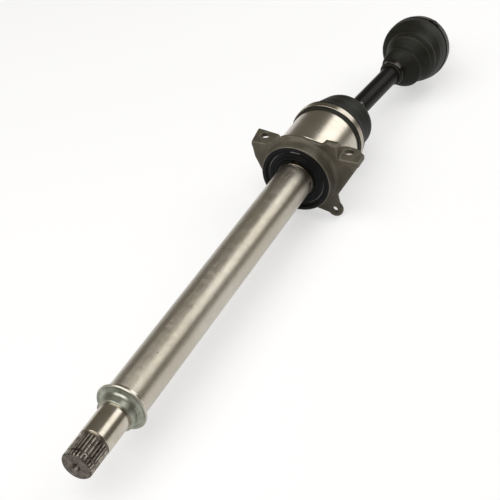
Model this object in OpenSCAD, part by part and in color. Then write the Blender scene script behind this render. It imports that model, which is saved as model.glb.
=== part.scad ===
/* [Gearbox stub] */
// Length of the splined end
spline_len = 29; // [20:1:40]
// Diameter over the spline teeth
spline_d = 32; // [28:0.5:33]
// Depth of a spline tooth
spline_depth = 1.4; // [0.8:0.1:1.8]
// Number of spline teeth on the stub
spline_teeth = 28; // [20:1:36]
// Diameter of the ground seal journal
journal_d = 33; // [32.8:0.1:34]
// Length from the tip to the front of the deflector
deflector_x = 68; // [60:1:72]
// Diameter of the deflector's dished rim
deflector_d = 54.4; // [50:0.2:60]

/* [Intermediate tube] */
// Distance from the stub tip to the front end of the tube
tube_x = 88; // [86:1:96]
// Length of the tube between its two welds
tube_len = 390; // [200:5:600]
// Outside diameter of the tube
tube_d = 44; // [42:0.5:44.6]
// Wall of the tube
tube_wall = 5.5; // [4:0.5:7]

/* [Support bearing] */
// Bore of the bearing's inner ring
bearing_bore = 45; // [45:0.5:46]
// Outside diameter of the bearing's outer ring
bearing_od = 75; // [74:0.5:76]
// Width of the bearing
bearing_w = 16; // [15:0.5:16]
// Number of balls in the support bearing
bearing_balls_n = 14; // [10:1:15]
// Diameter of a support bearing ball
bearing_ball_d = 8.7; // [8:0.1:9]

/* [Support bracket] */
// Outside diameter of the bracket's bearing boss
boss_d = 85.8; // [84:0.2:90]
// Thickness of the bracket's web and lug
web_t = 6; // [5:0.5:7]
// Height of the foot face above the shaft axis
foot_z = 28.4; // [26:0.2:30]
// Thickness of the bracket's ears
ear_t = 7; // [5:0.5:8]
// Spacing of the two foot holes
foot_hole_pitch = 106; // [102:0.5:110]
// Diameter of a foot hole
foot_hole_d = 10.5; // [8.5:0.5:12]
// Diameter of the hole in the lower lug
lug_hole_d = 6.6; // [5:0.2:8.4]

/* [Inner joint] */
// Outside diameter of the inner joint housing
can_d = 86; // [84:0.5:87]
// Length of the inner joint housing
can_len = 82; // [78:1:84]
// Distance of the roller centres from the joint axis
tripod_r = 24; // [23.6:0.1:24.4]
// Diameter of an outer roller
roller_d = 32; // [31:0.2:32.4]
// Width of an outer roller
roller_w = 10; // [8:0.5:11]
// Diameter of a tripod trunnion
trunnion_d = 17; // [15:0.2:17.4]
// Diameter of a needle
needle_d = 2.4; // [2:0.1:2.4]
// Number of needles round a trunnion
needles_n = 24; // [16:1:24]

/* [Bar] */
// Distance between the two joint centres
bar_centres = 262; // [220:1:400]
// Diameter of the bar
bar_d = 24; // [22:0.5:26]
// Bend of the bar to the viewer's side at the inner joint
bar_bend = 5.6; // [0:0.2:15]

/* [Outer joint] */
// Number of balls in the outer joint
joint_balls_n = 6; // [6:2:6]
// Diameter of an outer joint ball
joint_ball_d = 15; // [14:0.2:15.4]
// Distance of the ball centres from the joint centre
joint_ball_r = 28; // [27.7:0.1:28.3]
// Outside diameter of the outer joint housing
bell_d = 83; // [82:0.5:88]
// Bend at the outer joint
outer_bend = 20; // [0:1:30]
// Turn of the outer joint's bending plane about the bar
outer_roll = 25; // [0:1:40]
// Length of the hub splines
hub_spline_len = 38; // [30:1:50]
// Diameter over the hub splines
hub_spline_d = 28; // [26:0.5:30]
// Diameter of the hub nut thread
hub_thread_d = 24; // [20:0.5:24]
// Length of the hub nut thread
hub_thread_len = 20; // [14:1:26]

/* [Boots] */
// Wall of a rubber boot
boot_wall = 2.4; // [2:0.2:3]
// Sag of the outer boot's folds to one side
boot_sag = 5; // [0:0.5:6]
// Width of a clamp band
clamp_w = 8; // [6:0.5:9]
// Thickness of a clamp band
clamp_t = 1; // [0.6:0.1:1.4]

/* [Hidden] */
$fn = 64;

// Clearances: a face that sits on another, and a fit that turns
seat_gap = 0.02;
run_gap = 0.05;
soft_gap = 0.3;

// Gearbox stub
journal_r = journal_d / 2;
deflector_seat_r = journal_r + 0.5;
deflector_len = 15;
stub_shoulder_len = 4;
spigot_len = 16;
tube_r = tube_d / 2;
tube_end_x = tube_x + tube_len;

// Support bearing: its front face lies a fixed distance behind the rear weld
seat_r = bearing_bore / 2;
seat_run_in = 6;
bearing_x = tube_end_x + seat_run_in;
bearing_mid_x = bearing_x + bearing_w / 2;
bearing_rear_x = bearing_x + bearing_w;
bearing_r = bearing_od / 2;
bearing_pitch_r = (seat_r + bearing_r) / 2;
race_wall = (bearing_r - seat_r) / 2 - bearing_ball_d * 0.235 - 1.6;
inner_ring_r = seat_r + race_wall;
outer_ring_r = bearing_r - race_wall;
groove_r = bearing_ball_d / 2 + run_gap;

// Support bracket
boss_r = boss_d / 2;
boss_front_x = bearing_x - 3.6;
boss_rear_x = bearing_rear_x + 3;
web_x = boss_rear_x - web_t;
lug_tip_r = 10;
lug_y = -41.5;
lug_z = -44;
ear_len = 30.8;
ear_in_y = 37;
haunch = 3;
foot_hole_x = web_x + 19;
dust_ring_r = boss_r - 1;

// Inner joint: the housing starts behind the bracket
can_r = can_d / 2;
can_x = boss_rear_x + 1.5;
can_mouth_x = can_x + can_len;
can_floor_x = can_x + 4;
inner_x = can_mouth_x - 32;
roller_r = roller_d / 2;
inner_sphere_r = roller_r - 3;
trunnion_r = trunnion_d / 2;
needle_pitch_r = trunnion_r + needle_d / 2 + run_gap;
inner_roller_bore_r = trunnion_r + needle_d + 2 * run_gap;
inner_roller_w = roller_w - 0.6;
track_gap = 0.15;
track_open_gap = 2.2;
track_floor_r = tripod_r + roller_w / 2 + 8.4;
hub_r = 14.5;
hub_half_w = 9;
neck_r = bar_d / 2 - 0.6;
boot_groove_x = can_mouth_x - 18;
boot_groove_r = can_r - 0.8;

// Bar
bar_r = bar_d / 2;
spider_bore_r = 10;
race_bore_r = 10;

// Outer joint
joint_ball_rr = joint_ball_d / 2;
race_groove_r = joint_ball_rr + 1.2;
race_sphere_r = joint_ball_r - 4;
race_half_w = 12;
cage_in_r = race_sphere_r + soft_gap;
cage_out_r = joint_ball_r + 2.7;
cage_half_w = 13.2;
bell_sphere_r = cage_out_r + soft_gap;
bell_r = bell_d / 2;
bell_mouth = 16;
bell_lip_r = bell_r - 5.8;
bell_seat_r = bell_r - 2.2;
bell_seat_end = 17;
bell_neck_r = 22;
hub_face = 50;
hub_collar_len = 2;
hub_spline_r = hub_spline_d / 2;
hub_thread_r = hub_thread_d / 2;
hub_spline_x = hub_face + hub_collar_len;
hub_spline_end = hub_spline_x + hub_spline_len;
stem_end = hub_spline_end + hub_thread_len;
half_bend = outer_bend / 2;

// Boots: stations are [distance from the joint centre along its axis, outer radius]
inner_boot_r = boot_groove_r + boot_wall;
outer_boot_r = bell_seat_r + boot_wall;
bar_boot_r = bar_r + soft_gap + boot_wall;
boot_n = 40;
can_end_s = can_mouth_x - inner_x;
inner_boot_end = can_end_s + 60;
inner_turn_end = can_end_s + 40;
inner_boot_stations = [
    [boot_groove_x - inner_x, inner_boot_r], [can_end_s, inner_boot_r],
    [can_end_s + 2, inner_boot_r - 2.6],
    [can_end_s + 8, inner_boot_r - 4.6], [can_end_s + 14, inner_boot_r - 5.6],
    [can_end_s + 20, inner_boot_r - 6.6],
    [can_end_s + 26, inner_boot_r - 7.6], [can_end_s + 32, inner_boot_r - 8.8],
    [can_end_s + 38, inner_boot_r - 11.8],
    [inner_boot_end - 18.5, inner_boot_r - 16.1], [inner_boot_end - 16, bar_boot_r + 9.6],
    [inner_boot_end - 14.5, bar_boot_r + 4.8], [inner_boot_end - 13.5, bar_boot_r + 1.8],
    [inner_boot_end - 12, bar_boot_r], [inner_boot_end, bar_boot_r]
];
outer_boot_start = -73;
outer_turn_start = -60;
outer_turn_end = -18;
outer_boot_stations = [
    [outer_boot_start, bar_boot_r], [-62, bar_boot_r], [-60.5, 17.2], [-58, 21.4], [-54, 25.1],
    [-50.5, 26.6],
    [-48.5, 26.1], [-46.5, 24.4], [-44.5, 24.8], [-40, 28.4], [-34.5, 32.9], [-31, 34.2],
    [-29, 33.8], [-27.2, 32.4],
    [-25.2, 33], [-22, 35.7], [-18, 38.9], [-13, 40.7], [-7, outer_boot_r - 0.1],
    [0, outer_boot_r + 0.4],
    [3, outer_boot_r], [bell_seat_end - 1, outer_boot_r]
];

module body_steel() color([0.55, 0.52, 0.46]) children();
module dark_steel() color([0.28, 0.27, 0.24]) children();
module black_paint() color([0.13, 0.13, 0.12]) children();
module bright_steel() color([0.8, 0.79, 0.76]) children();
module cast() color([0.32, 0.32, 0.27]) children();
module rubber() color([0.1, 0.1, 0.09]) children();

// A solid turned about X: points are [radius, x]
module turned(points) rotate([0, 90, 0]) rotate_extrude() polygon(points);
// A plain rod or disc along X
module rod(r, x0, x1) translate([x0, 0, 0]) rotate([0, 90, 0]) cylinder(r = r, h = x1 - x0);
// A ring with square edges along X
module ring(r_in, r_out, x0, x1) turned([[r_in, x0], [r_out, x0], [r_out, x1], [r_in, x1]]);
// Outline of a splined shaft in its own plane
function spline_points(r, depth, teeth) = [
    for (i = [0:teeth - 1], k = [0:3])
        let (a = (i + [-0.34, -0.14, 0.14, 0.34][k]) * 360 / teeth,
            q = (k == 0 || k == 3) ? r - depth : r)
        [q * cos(a), q * sin(a)]
];
// A splined rod along X with chamfered ends
module splined(r, depth, teeth, x0, x1) intersection() {
    translate([x0, 0, 0]) rotate([0, 90, 0]) linear_extrude(x1 - x0) polygon(spline_points(r,
        depth, teeth));
    turned([[0, x0], [r - depth, x0], [r + 0.2, x0 + depth + 0.4], [r + 0.2, x1 - depth],
        [r - depth, x1], [0, x1]]);
}
// An open spring ring along X whose gap faces up
module snap_ring(r_in, r_out, x0, x1, gap) difference() {
    ring(r_in, r_out, x0, x1);
    translate([x0 - 1, -gap / 2, 0]) cube([x1 - x0 + 2, gap, r_out + 1]);
}

// Frames of the pieces at rest
module at_bar() translate([inner_x, 0, 0]) rotate([0, 0, -bar_bend]) children();
module at_joint() at_bar() translate([bar_centres, 0, 0]) rotate([outer_roll, 0, 0]) children();
module at_cage() at_joint() rotate([0, half_bend, 0]) children();
module at_hub() at_joint() rotate([0, outer_bend, 0]) children();
// A trunnion's own frame: local Z runs out along trunnion n, at the roller's centre
module on_trunnion(n) rotate([n * 120, 0, 0]) translate([0, 0, tripod_r]) children();

module splined_stub() dark_steel() difference() {
    union() {
        splined(spline_d / 2, spline_depth, spline_teeth, 0, spline_len);
        turned([
            [0, spline_len], [spline_d / 2 - spline_depth, spline_len],
            [spline_d / 2 - spline_depth, spline_len + 2],
            [journal_r - 0.6, spline_len + 2], [journal_r, spline_len + 2.6], [journal_r, deflector_x],
            [deflector_seat_r, deflector_x], [deflector_seat_r, deflector_x + deflector_len],
            [tube_r - 0.5, deflector_x + deflector_len], [tube_r, tube_x - stub_shoulder_len],
            [tube_r, tube_x], [tube_r - tube_wall - seat_gap, tube_x],
            [tube_r - tube_wall - seat_gap, tube_x + spigot_len], [0, tube_x + spigot_len]
        ]);
    }
    turned([[0, -1], [4.5, -1], [4.5, 0], [2, 4], [2, 9], [0, 10]]);
    ring(spline_d / 2 - 2.2, spline_d, 6, 7.9);
}

module stub_circlip() dark_steel() snap_ring(spline_d / 2 - 2.2 + seat_gap, spline_d / 2 - 0.7,
    6.1, 7.8, 5);

module oil_deflector() bright_steel() turned([
    [deflector_seat_r + seat_gap, deflector_x], [deflector_seat_r + 1.9, deflector_x],
    [deflector_seat_r + 2.5, deflector_x + 0.7], [deflector_seat_r + 2.5, deflector_x + 8.4],
    [deflector_seat_r + 3.6, deflector_x + 10.6], [deflector_d / 2 - 3.2, deflector_x + 12.4],
    [deflector_d / 2 - 1.6, deflector_x + 11.8], [deflector_d / 2 - 0.5, deflector_x + 12.1],
    [deflector_d / 2, deflector_x + 13.2], [deflector_d / 2 - 0.3, deflector_x + 14.4],
    [deflector_d / 2 - 1.4, deflector_x + 15], [deflector_d / 2 - 3.4, deflector_x + 14.2],
    [deflector_seat_r + 2.6, deflector_x + 12.8], [deflector_seat_r + seat_gap, deflector_x + 12.8]
]);

module shaft_tube() body_steel() ring(tube_r - tube_wall, tube_r, tube_x, tube_end_x);

module bearing_inner_ring() bright_steel() difference() {
    ring(seat_r + seat_gap, inner_ring_r, bearing_x, bearing_rear_x);
    translate([bearing_mid_x, 0, 0]) rotate([0, 90, 0]) rotate_extrude()
        translate([bearing_pitch_r, 0]) circle(r = groove_r);
}

module bearing_outer_ring() bright_steel() difference() {
    ring(outer_ring_r, bearing_r, bearing_x, bearing_rear_x);
    translate([bearing_mid_x, 0, 0]) rotate([0, 90, 0]) rotate_extrude()
        translate([bearing_pitch_r, 0]) circle(r = groove_r);
}

module shaft_snap_ring() bright_steel()
    snap_ring(seat_r - 1.2 + seat_gap, seat_r + 2, bearing_x - 2, bearing_x - seat_gap, 7);

module ball_circle(n, pitch_r, x, r) for (i = [0:n - 1])
    rotate([i * 360 / n, 0, 0]) translate([x, 0, pitch_r]) sphere(r = r);

module bearing_balls() bright_steel() ball_circle(bearing_balls_n, bearing_pitch_r, bearing_mid_x,
    bearing_ball_d / 2);

module bearing_cage() color([0.62, 0.5, 0.25]) difference() {
    ring(bearing_pitch_r - 1.1, bearing_pitch_r + 1.1, bearing_mid_x - 5, bearing_mid_x + 5);
    ball_circle(bearing_balls_n, bearing_pitch_r, bearing_mid_x, bearing_ball_d / 2 + run_gap);
}

module bearing_circlip() dark_steel()
    snap_ring(outer_ring_r + 1, bearing_r + 2, bearing_x - 1.8, bearing_x - seat_gap, 12);

module bearing_dust_ring() rubber() turned([
    [bearing_r - 1, bearing_x - 2], [bearing_r - 0.4, bearing_x - 3], [bearing_r + 0.6, bearing_x - 4],
    [dust_ring_r - 0.8, bearing_x - 4], [dust_ring_r - seat_gap, bearing_x - 3.4],
    [dust_ring_r - seat_gap, bearing_x - 2], [bearing_r - 1, bearing_x - 2]
]);

// Rubber seal of the support bearing, drawn as the front one with its face towards -X
module bearing_seal() turned([
    [inner_ring_r - 1.8, -1.4], [inner_ring_r - 0.8, -2.2], [inner_ring_r + 0.4, -1.5],
    [bearing_pitch_r - 1.6, -1.5], [bearing_pitch_r - 0.6, -2.1], [bearing_pitch_r + 0.4, -1.5],
    [outer_ring_r - 1.4, -1.5], [outer_ring_r - seat_gap, -1.1], [outer_ring_r - seat_gap, 2],
    [outer_ring_r - 1.4, 2], [outer_ring_r - 1.4, -0.4], [inner_ring_r - 1.8, -0.4]
]);
module bearing_seal_front() rubber() translate([bearing_x, 0, 0]) bearing_seal();
module bearing_seal_rear() rubber() translate([bearing_rear_x, 0, 0]) mirror([1, 0, 0]) bearing_seal();

// Outline of the bracket's web, seen along the shaft, as [y, z]
web_outline = [
    [63.4, foot_z], [62.6, foot_z - 8], [60.4, 8], [50.6, -13], [47, -24], [38, -34], [10, -45],
    [-16, -47],
    [lug_y - 4.6, lug_z - 8.9], [lug_y - lug_tip_r, lug_z], [-47, -34], [-45, -23.5],
    [-72.4, foot_z - 4],
    [-72, foot_z], [-47, foot_z], [-45.5, foot_z + 15.5], [-34, foot_z + 19],
    [-25.5, foot_z + 14.5], [-14, 45],
    [0, 47.5], [14, 46.5], [25, 42], [33, 36], [38, foot_z + 3], [42, foot_z + 3], [44, foot_z]
];
// Plans of the two ears as [distance behind the web's front, y]
left_ear = [[0, ear_in_y], [0, 63.4], [ear_len, 68], [ear_len - 3.4, 44.6], [ear_len - 4.4, ear_in_y]];
right_ear = [
    [0, -ear_in_y], [0, -72], [ear_len - 11, -72], [ear_len - 1.8, -60], [ear_len, -46],
    [ear_len - 4, -ear_in_y]
];

// One ear with the fillet under it: plan is its outline, y_to the fillet's far end on the +Y side
module ear(plan, y_to) {
    translate([web_x, 0, foot_z - ear_t]) linear_extrude(ear_t) polygon(plan);
    translate([boss_rear_x, y_to, foot_z - ear_t]) rotate([90, 0, 0]) linear_extrude(20)
        polygon([[-1, 1], [haunch, 1], [haunch, 0], [0, -haunch], [-1, -haunch]]);
}

module support_bracket() cast() difference() {
    union() {
        turned([
            [20, boss_front_x], [boss_r - 0.8, boss_front_x], [boss_r, boss_front_x + 0.8],
            [boss_r, web_x - 4], [boss_r + 2.5, web_x], [boss_r + 2.5, boss_rear_x], [20, boss_rear_x]
        ]);
        translate([web_x, 0, 0]) rotate([90, 0, 90]) linear_extrude(web_t) polygon(web_outline);
        translate([web_x, lug_y, lug_z]) rotate([0, 90, 0]) cylinder(r = lug_tip_r, h = web_t);
        ear(left_ear, 62);
        ear(right_ear, -42);
        translate([web_x, -45.5, foot_z - 2]) cube([14, 19, 17]);
    }
    rod(bearing_r + seat_gap, bearing_x - 1.9, bearing_rear_x);
    rod(bearing_r + 2 + seat_gap, bearing_x - 1.9, bearing_x);
    rod(dust_ring_r, boss_front_x - 1, bearing_x - 1.9);
    rod(outer_ring_r + 1, boss_front_x, boss_rear_x + 1);
    rod(can_r + 1.6, boss_rear_x, web_x + ear_len + 1);
    for (side = [-1, 1]) translate([foot_hole_x, side * foot_hole_pitch / 2, foot_z - ear_t - 1])
        cylinder(d = foot_hole_d, h = ear_t + 2);
    translate([web_x - 1, lug_y, lug_z]) rotate([0, 90, 0]) cylinder(d = lug_hole_d, h = web_t + 2);
}

module joint_housing() body_steel() difference() {
    turned([
        [0, tube_end_x - spigot_len], [tube_r - tube_wall - seat_gap, tube_end_x - spigot_len],
        [tube_r - tube_wall - seat_gap, tube_end_x], [tube_r, tube_end_x], [seat_r, tube_end_x + 0.5],
        [seat_r, bearing_rear_x], [seat_r + 1.6, bearing_rear_x], [seat_r + 1.6, can_x],
        [can_r - 2.5, can_x], [can_r, can_x + 2.5], [can_r, boot_groove_x],
        [boot_groove_r, boot_groove_x],
        [boot_groove_r, can_mouth_x], [0, can_mouth_x]
    ]);
    ring(seat_r - 1.2, seat_r + 1, bearing_x - 2.05, bearing_x);
    // Three roller tracks
    for (n = [0:2]) rotate([n * 120, 0, 0]) intersection() {
        half_w = roller_r + (n == 0 ? track_gap : track_open_gap);
        translate([can_floor_x, -half_w, 0]) cube([can_len, 2 * half_w, track_floor_r + 5]);
        rod(track_floor_r, can_floor_x, can_mouth_x + 1);
    }
    // Bore between the lands, opening to the mouth for the bar
    turned([
        [0, can_floor_x], [19.6, can_floor_x], [19.6, inner_x - 6], [track_floor_r, can_mouth_x - 2],
        [track_floor_r, can_mouth_x + 1], [0, can_mouth_x + 1]
    ]);
}

module outer_roller() difference() {
    intersection() {
        sphere(r = roller_r);
        translate([0, 0, -roller_w / 2]) cylinder(r = roller_r + 1, h = roller_w);
    }
    sphere(r = inner_sphere_r + 0.1);
    translate([0, 0, -roller_w]) cylinder(r = sqrt(pow(inner_sphere_r + 0.1, 2) - pow(roller_w / 2,
        2)), h = 2 * roller_w);
}

module inner_roller() difference() {
    intersection() {
        sphere(r = inner_sphere_r);
        translate([0, 0, -inner_roller_w / 2]) cylinder(r = inner_sphere_r + 1, h = inner_roller_w);
    }
    translate([0, 0, -roller_w]) cylinder(r = inner_roller_bore_r, h = 2 * roller_w);
}

module needle_rollers() for (i = [0:needles_n - 1]) rotate([0, 0, i * 360 / needles_n])
    translate([needle_pitch_r, 0, -inner_roller_w / 2 + 0.3]) cylinder(d = needle_d,
        h = inner_roller_w - 0.6);

module outer_roller_1() bright_steel() translate([inner_x, 0, 0]) on_trunnion(0) outer_roller();
module outer_roller_2() bright_steel() at_bar() on_trunnion(1) outer_roller();
module outer_roller_3() bright_steel() at_bar() on_trunnion(2) outer_roller();
module inner_roller_1() bright_steel() translate([inner_x, 0, 0]) on_trunnion(0) inner_roller();
module inner_roller_2() bright_steel() at_bar() on_trunnion(1) inner_roller();
module inner_roller_3() bright_steel() at_bar() on_trunnion(2) inner_roller();
module needle_rollers_1() bright_steel() translate([inner_x, 0, 0]) on_trunnion(0) needle_rollers();
module needle_rollers_2() bright_steel() at_bar() on_trunnion(1) needle_rollers();
module needle_rollers_3() bright_steel() at_bar() on_trunnion(2) needle_rollers();

module tripod_spider() dark_steel() at_bar() difference() {
    union() {
        intersection() {
            turned([
                [0, -hub_half_w], [hub_r - 2, -hub_half_w], [hub_r, -hub_half_w + 2],
                [hub_r, hub_half_w - 2], [hub_r - 2, hub_half_w], [0, hub_half_w]
            ]);
            sphere(r = hub_r + 3);
        }
        for (n = [0:2]) on_trunnion(n) {
            translate([0, 0, -tripod_r + 8]) cylinder(r = trunnion_r,
                h = tripod_r - 8 + inner_roller_w / 2 + 2.6);
        }
    }
    rod(spider_bore_r, -hub_half_w - 1, hub_half_w + 1);
    for (n = [0:2]) on_trunnion(n) translate([0, 0, inner_roller_w / 2 + 0.6]) difference() {
        cylinder(r = trunnion_r + 1, h = 1.2);
        translate([0, 0, -1]) cylinder(r = trunnion_r - 0.8, h = 4);
    }
}

// Snap rings on the trunnion ends that keep the rollers on
module roller_retainers() bright_steel() at_bar() for (n = [0:2]) on_trunnion(n)
    translate([0, 0, inner_roller_w / 2 + 0.6 + seat_gap]) difference() {
        cylinder(r = needle_pitch_r + 0.6, h = 1.2 - 2 * seat_gap);
        translate([0, 0, -1]) cylinder(r = trunnion_r - 0.8 + seat_gap, h = 4);
        translate([0, -2, -1]) cube([20, 4, 4]);
    }

module spider_circlip() bright_steel() at_bar()
    snap_ring(spider_bore_r - 1.4 + seat_gap, spider_bore_r + 1.6, -hub_half_w - 1.5,
        -hub_half_w - seat_gap, 5);

module bar_shaft() black_paint() at_bar() difference() {
    turned([
        [0, -hub_half_w - 4], [spider_bore_r - 1.5, -hub_half_w - 4],
        [spider_bore_r - seat_gap, -hub_half_w - 2.5],
        [spider_bore_r - seat_gap, hub_half_w], [neck_r, hub_half_w], [neck_r, 62], [bar_r, 66],
        [bar_r, bar_centres - 52], [neck_r, bar_centres - 48], [neck_r, bar_centres - race_half_w],
        [race_bore_r - seat_gap, bar_centres - race_half_w],
        [race_bore_r - seat_gap, bar_centres + race_half_w + 2],
        [race_bore_r - 1.5, bar_centres + race_half_w + 3.5], [0, bar_centres + race_half_w + 3.5]
    ]);
    ring(spider_bore_r - 1.4, spider_bore_r + 1, -hub_half_w - 1.55, -hub_half_w);
    ring(race_bore_r - 1.4, race_bore_r + 1, bar_centres + race_half_w,
        bar_centres + race_half_w + 1.55);
}

// Ball grooves of the outer joint: one full ring of ball section cuts a groove and the one opposite
module ball_grooves() for (i = [0:joint_balls_n / 2 - 1]) rotate([i * 360 / joint_balls_n + 30, 0, 0])
    rotate([90, 0, 0]) rotate_extrude() translate([joint_ball_r, 0]) circle(r = race_groove_r);

module inner_race() bright_steel() at_joint() difference() {
    intersection() {
        sphere(r = race_sphere_r);
        rod(race_sphere_r + 1, -race_half_w, race_half_w);
    }
    rod(race_bore_r, -race_half_w - 1, race_half_w + 1);
    ball_grooves();
}

module race_circlip() bright_steel() at_bar() snap_ring(race_bore_r - 1.4 + seat_gap, race_bore_r + 1.4,
    bar_centres + race_half_w + seat_gap, bar_centres + race_half_w + 1.5, 5);

// Points on a circle about the joint centre, as [radius, x], between two places along X
function arc_points(r, x0, x1, n) = let (a0 = asin(x0 / r), a1 = asin(x1 / r)) [
    for (i = [0:n]) let (a = a0 + (a1 - a0) * i / n) [r * cos(a), r * sin(a)]
];

module outer_cage() dark_steel() at_cage() difference() {
    turned(concat(
        arc_points(cage_out_r, -cage_half_w, cage_half_w, 8),
        arc_points(cage_in_r, cage_half_w, -cage_half_w, 8)
    ));
    for (i = [0:joint_balls_n - 1]) rotate([i * 360 / joint_balls_n + 30, 0, 0])
        translate([-joint_ball_rr - run_gap, -joint_ball_rr - 1.5, cage_in_r - 8])
            cube([2 * (joint_ball_rr + run_gap), 2 * joint_ball_rr + 3, 20]);
}

module joint_balls() bright_steel() at_cage() rotate([30, 0, 0])
    ball_circle(joint_balls_n, joint_ball_r, 0, joint_ball_rr);

module outer_housing() dark_steel() at_hub() difference() {
    union() {
        turned([
            [0, -bell_mouth], [bell_lip_r, -bell_mouth], [bell_seat_r, -bell_mouth / 4],
            [bell_seat_r, bell_seat_end],
            [bell_r, bell_seat_end + 0.6], [bell_r, bell_seat_end + 6],
            [bell_r - 3, bell_seat_end + 10],
            [bell_neck_r + 7, hub_face - 9], [bell_neck_r, hub_face - 5], [bell_neck_r, hub_face],
            [hub_spline_r + 0.5, hub_face], [hub_spline_r + 0.5, hub_spline_x], [0, hub_spline_x]
        ]);
        splined(hub_spline_r, 1.2, 30, hub_spline_x - 1, hub_spline_end);
        turned([
            [0, hub_spline_end], [hub_thread_r - 1.4, hub_spline_end],
            [hub_thread_r - 1.4, hub_spline_end + 2.5],
            [hub_thread_r, hub_spline_end + 4], [hub_thread_r, stem_end - 1.4],
            [hub_thread_r - 1.4, stem_end],
            [0, stem_end]
        ]);
    }
    sphere(r = bell_sphere_r);
    ball_grooves();
    turned([[0, -bell_mouth - 1], [bell_lip_r - 4, -bell_mouth - 1],
        [bell_lip_r - 4.6, -bell_mouth], [28.6, -10], [0, -10]]);
    turned([[0, stem_end + 1], [4, stem_end + 1], [4, stem_end], [1.6, stem_end - 4],
        [1.6, stem_end - 9], [0, stem_end - 10]]);
}

// Boots are skins of round rings. A station is [distance along the joint's axis, radius], and its ring turns
// about the joint centre by a share of the bend that grows smoothly between the two bodies.
function smooth(t) = let (c = max(0, min(1, t))) c * c * (3 - 2 * c);
function bend_point(p, a) = [p[0] * cos(a) + p[2] * sin(a), p[1], -p[0] * sin(a) + p[2] * cos(a)];
function boot_ring(s, r, a, sag) = [
    for (i = [0:boot_n - 1]) let (b = i * 360 / boot_n) bend_point([s, r * cos(b) - sag, r * sin(b)], a)
];
// Share of the sag at a station: none where either end sits on its seat
function sag_share(s) = smooth((s - outer_turn_start + 4) / 14) * smooth((outer_turn_end + 5 - s) / 16);
// skin: stations, from the outside of one end round to the inside of the same end
module boot_skin(stations, bend, turn_start, turn_end, sag) {
    n = len(stations);
    points = [
        for (q = stations) each boot_ring(
            q[0], q[1], bend * smooth((q[0] - turn_start) / (turn_end - turn_start)),
                sag * sag_share(q[0])
        )
    ];
    polyhedron(points, [
        for (k = [0:n - 1], i = [0:boot_n - 1]) let (j = (i + 1) % boot_n, m = (k + 1) % n)
            each [[k * boot_n + i, m * boot_n + i, k * boot_n + j],
                [k * boot_n + j, m * boot_n + i, m * boot_n + j]]
    ], convexity = 6);
}
// A wall of even thickness: outer stations one way, inner ones back, with the inner ends set by a bore
function boot_wall_stations(outer, wall) = concat(outer, [
    for (k = [len(outer) - 1:-1:0]) [outer[k][0], (outer[k][1] - wall) / cos(180 / boot_n)]
]);

module inner_boot() rubber() translate([inner_x, 0, 0]) rotate([-90, 0, 0])
    boot_skin(boot_wall_stations(inner_boot_stations, boot_wall), bar_bend, can_end_s,
        inner_turn_end, 0);

module outer_boot() rubber() at_joint()
    boot_skin(boot_wall_stations(outer_boot_stations, boot_wall), outer_bend, outer_turn_start,
        outer_turn_end, boot_sag);

// A band clamp along X, closed by a folded ear that faces up
module band_clamp(r, x, width) {
    ring(r, r + clamp_t, x, x + width);
    intersection() {
        ring(r + clamp_t - 0.1, r + clamp_t + 1, x + 0.6, x + width - 0.6);
        translate([x, -r / 4, 0]) cube([width, r / 2, r + 10]);
    }
}

module inner_boot_clamp_large() bright_steel() rotate([-35, 0, 0])
    band_clamp(inner_boot_r + seat_gap, boot_groove_x + 4, clamp_w);
module inner_boot_clamp_small() bright_steel() at_bar()
    band_clamp(bar_boot_r + soft_gap, inner_boot_end - 3 - clamp_w, clamp_w);
module outer_boot_clamp_large() black_paint() at_hub() rotate([-20, 0, 0])
    band_clamp(outer_boot_r + seat_gap, bell_seat_end - 4 - clamp_w, clamp_w);
module outer_boot_clamp_small() bright_steel() at_joint()
    band_clamp(bar_boot_r + soft_gap, outer_boot_start + 2, clamp_w);

splined_stub();
stub_circlip();
oil_deflector();
shaft_tube();
bearing_inner_ring();
shaft_snap_ring();
joint_housing();
inner_boot();
inner_boot_clamp_large();
inner_boot_clamp_small();
support_bracket();
bearing_outer_ring();
bearing_circlip();
bearing_dust_ring();
bearing_seal_front();
bearing_seal_rear();
bearing_cage();
bearing_balls();
outer_roller_1();
outer_roller_2();
outer_roller_3();
inner_roller_1();
inner_roller_2();
inner_roller_3();
needle_rollers_1();
needle_rollers_2();
needle_rollers_3();
roller_retainers();
tripod_spider();
spider_circlip();
bar_shaft();
inner_race();
race_circlip();
outer_cage();
joint_balls();
outer_housing();
outer_boot();
outer_boot_clamp_large();
outer_boot_clamp_small();
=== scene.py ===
import math

import bmesh
import bpy
from bpy.props import FloatProperty, FloatVectorProperty, IntProperty, PointerProperty
from mathutils import Matrix, Vector


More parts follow.
